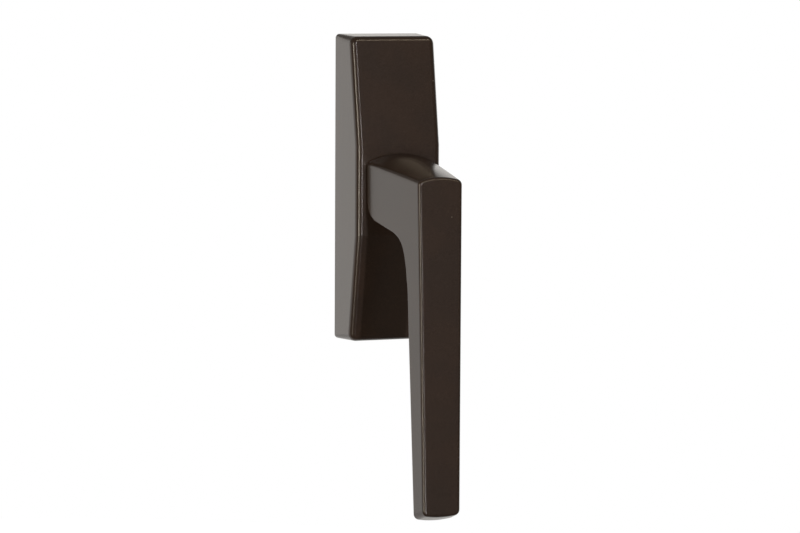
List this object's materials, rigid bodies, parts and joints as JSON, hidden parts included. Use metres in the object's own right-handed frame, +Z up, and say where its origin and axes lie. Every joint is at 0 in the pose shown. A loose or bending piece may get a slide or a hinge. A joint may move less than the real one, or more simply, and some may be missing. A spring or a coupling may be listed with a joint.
{
  "type": "tilt turn window handle",
  "caption": "Surface-mounted tilt turn handle: long base cover with a rack gear inside and a one-piece lever whose flat grip hangs down in front.",
  "frame": {"origin": "where the axis of the square spindle meets the sash face, midway between the fixing screws", "axes": "+X to the right seen from the room, +Y into the sash, +Z up"},
  "size_m": [0.037, 0.089, 0.1927],
  "materials": {
    "bronze_coat": "satin",
    "die_cast_zinc": "as cast",
    "plated_steel": "zinc plated",
    "spring_steel": "blued",
    "gear_steel": "machined",
    "black_steel": "blackened",
    "black_nylon": "matte",
    "natural_nylon": "matte",
    "foam_seal": "foam"
  },
  "bodies": {
    "base": {"cover": "bronze_coat", "gear_case": "die_cast_zinc", "back_plate": "plated_steel", "back_plate_screws": "plated_steel", "back_gasket": "foam_seal", "neck_bush": "black_nylon", "pinion_bearing": "black_nylon", "cover_clips": "spring_steel", "fixing_screws": "plated_steel", "fixing_screw_washers": "plated_steel", "glide_strip": "natural_nylon", "detent_springs": "spring_steel"},
    "lever": {"lever": "bronze_coat", "spindle": "plated_steel", "grub_screw": "black_steel", "pinion": "gear_steel", "detent_ring": "gear_steel", "thrust_washer": "plated_steel", "wave_washer": "spring_steel", "retaining_ring": "spring_steel"},
    "rack": {"rack_slide": "die_cast_zinc", "drive_pins": "gear_steel", "glide_shoe": "natural_nylon"}
  },
  "joints": [
    {"name": "lever_turn", "type": "hinge", "parent": "base", "child": "lever", "pos_m": [0, 0, 0], "axis": [0, -1, 0], "range_deg": [0, 180], "deforming": ["detent_springs"]},
    {"name": "rack_travel", "type": "slide", "parent": "base", "child": "rack", "axis": [0, 0, 1], "range_m": [0, 0.03142]}
  ],
  "couplings": [
    {"joint": "rack_travel", "follows": "lever_turn", "m_per_rad": 0.01}
  ]
}
